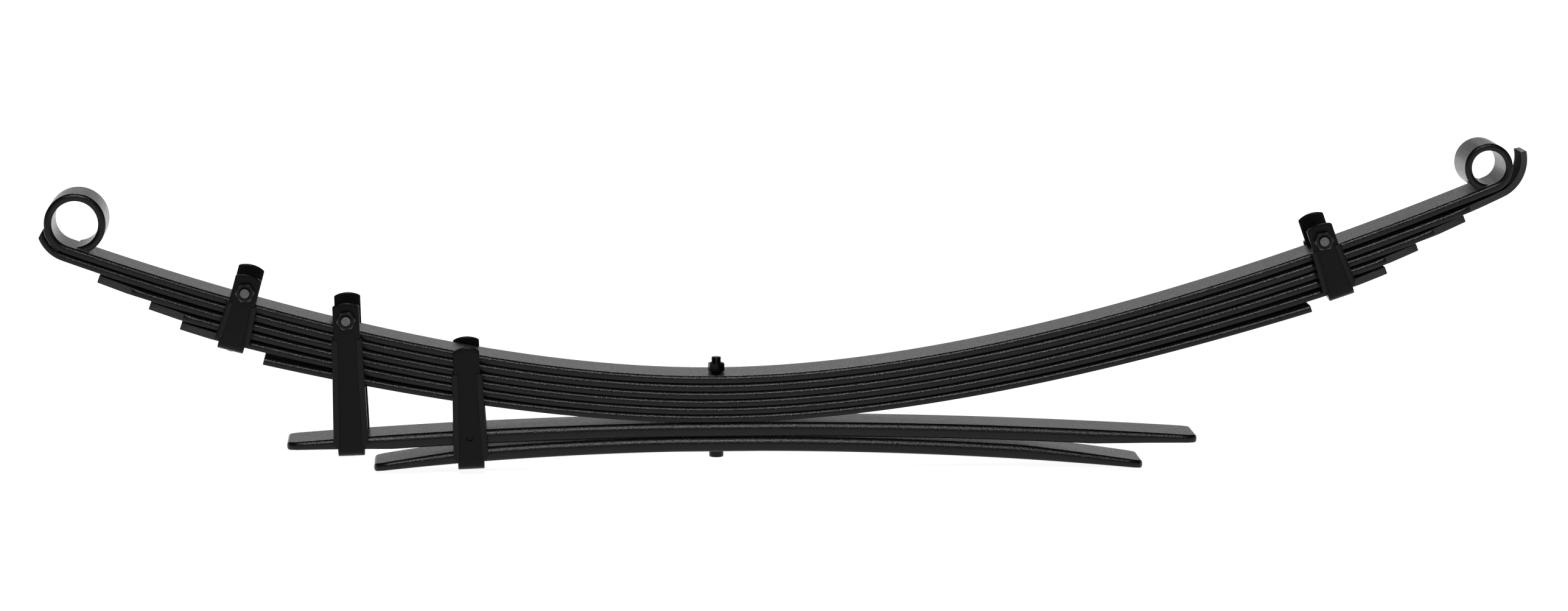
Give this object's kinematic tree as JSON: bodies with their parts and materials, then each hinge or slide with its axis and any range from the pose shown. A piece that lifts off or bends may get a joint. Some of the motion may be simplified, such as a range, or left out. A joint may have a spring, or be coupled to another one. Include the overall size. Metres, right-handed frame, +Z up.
{
  "type": "leaf spring",
  "caption": "Multi-leaf suspension spring with two rolled eyes, a thick helper stage curved the other way, riveted clips with bolts and liners, and a centre bolt.",
  "frame": {"origin": "centre of the axle seat: the underside of the lowest leaf, on the centre bolt's axis", "axes": "+X towards the rear (shackle) eye, +Y across the leaves, +Z up from the axle seat towards the eyes"},
  "size_m": [1.4126, 0.097, 0.3101],
  "materials": {
    "leaf_paint": "satin grey-black textured paint on rolled spring steel",
    "clip_paint": "satin black paint on bent strap",
    "fastener": "satin black paint on turned and forged steel",
    "liner": "matte moulded black plastic"
  },
  "bodies": {
    "seat": {"leaf_1_seat": "leaf_paint", "leaf_2_seat": "leaf_paint", "leaf_3_seat": "leaf_paint", "leaf_4_seat": "leaf_paint", "leaf_5_seat": "leaf_paint", "leaf_6_seat": "leaf_paint", "leaf_7": "leaf_paint", "leaf_8": "leaf_paint", "centre_bolt": "fastener", "centre_nut": "fastener", "clip_b_strap": "clip_paint", "clip_b_rivet": "fastener", "clip_b_liner_near": "liner", "clip_b_liner_far": "liner", "clip_b_bolt": "fastener", "clip_b_nut": "fastener", "clip_b_spacer": "fastener", "clip_c_strap": "clip_paint", "clip_c_rivet": "fastener", "clip_c_liner_near": "liner", "clip_c_liner_far": "liner"},
    "front_arm": {"leaf_1_front_arm": "leaf_paint", "leaf_2_front_arm": "leaf_paint", "leaf_3_front_arm": "leaf_paint", "leaf_4_front_arm": "leaf_paint", "leaf_5_front_arm": "leaf_paint", "leaf_6_front_arm": "leaf_paint", "clip_a_strap": "clip_paint", "clip_a_rivet": "fastener", "clip_a_liner_near": "liner", "clip_a_liner_far": "liner", "clip_a_bolt": "fastener", "clip_a_nut": "fastener", "clip_a_spacer": "fastener"},
    "rear_arm": {"leaf_1_rear_arm": "leaf_paint", "leaf_2_rear_arm": "leaf_paint", "leaf_3_rear_arm": "leaf_paint", "leaf_4_rear_arm": "leaf_paint", "leaf_5_rear_arm": "leaf_paint", "leaf_6_rear_arm": "leaf_paint", "clip_d_strap": "clip_paint", "clip_d_rivet": "fastener", "clip_d_liner_near": "liner", "clip_d_liner_far": "liner", "clip_d_bolt": "fastener", "clip_d_nut": "fastener", "clip_d_spacer": "fastener"}
  },
  "joints": [
    {"name": "front_flex", "type": "hinge", "parent": "seat", "child": "front_arm", "pos_m": [-0.1892, 0, 0.04176], "axis": [0, -1, 0], "range_deg": [-0.5, 16], "stiffness_Nm_per_rad": 4700},
    {"name": "rear_flex", "type": "hinge", "parent": "seat", "child": "rear_arm", "pos_m": [0.22114, 0, 0.04726], "axis": [0, 1, 0], "range_deg": [-0.5, 16], "stiffness_Nm_per_rad": 3800}
  ]
}
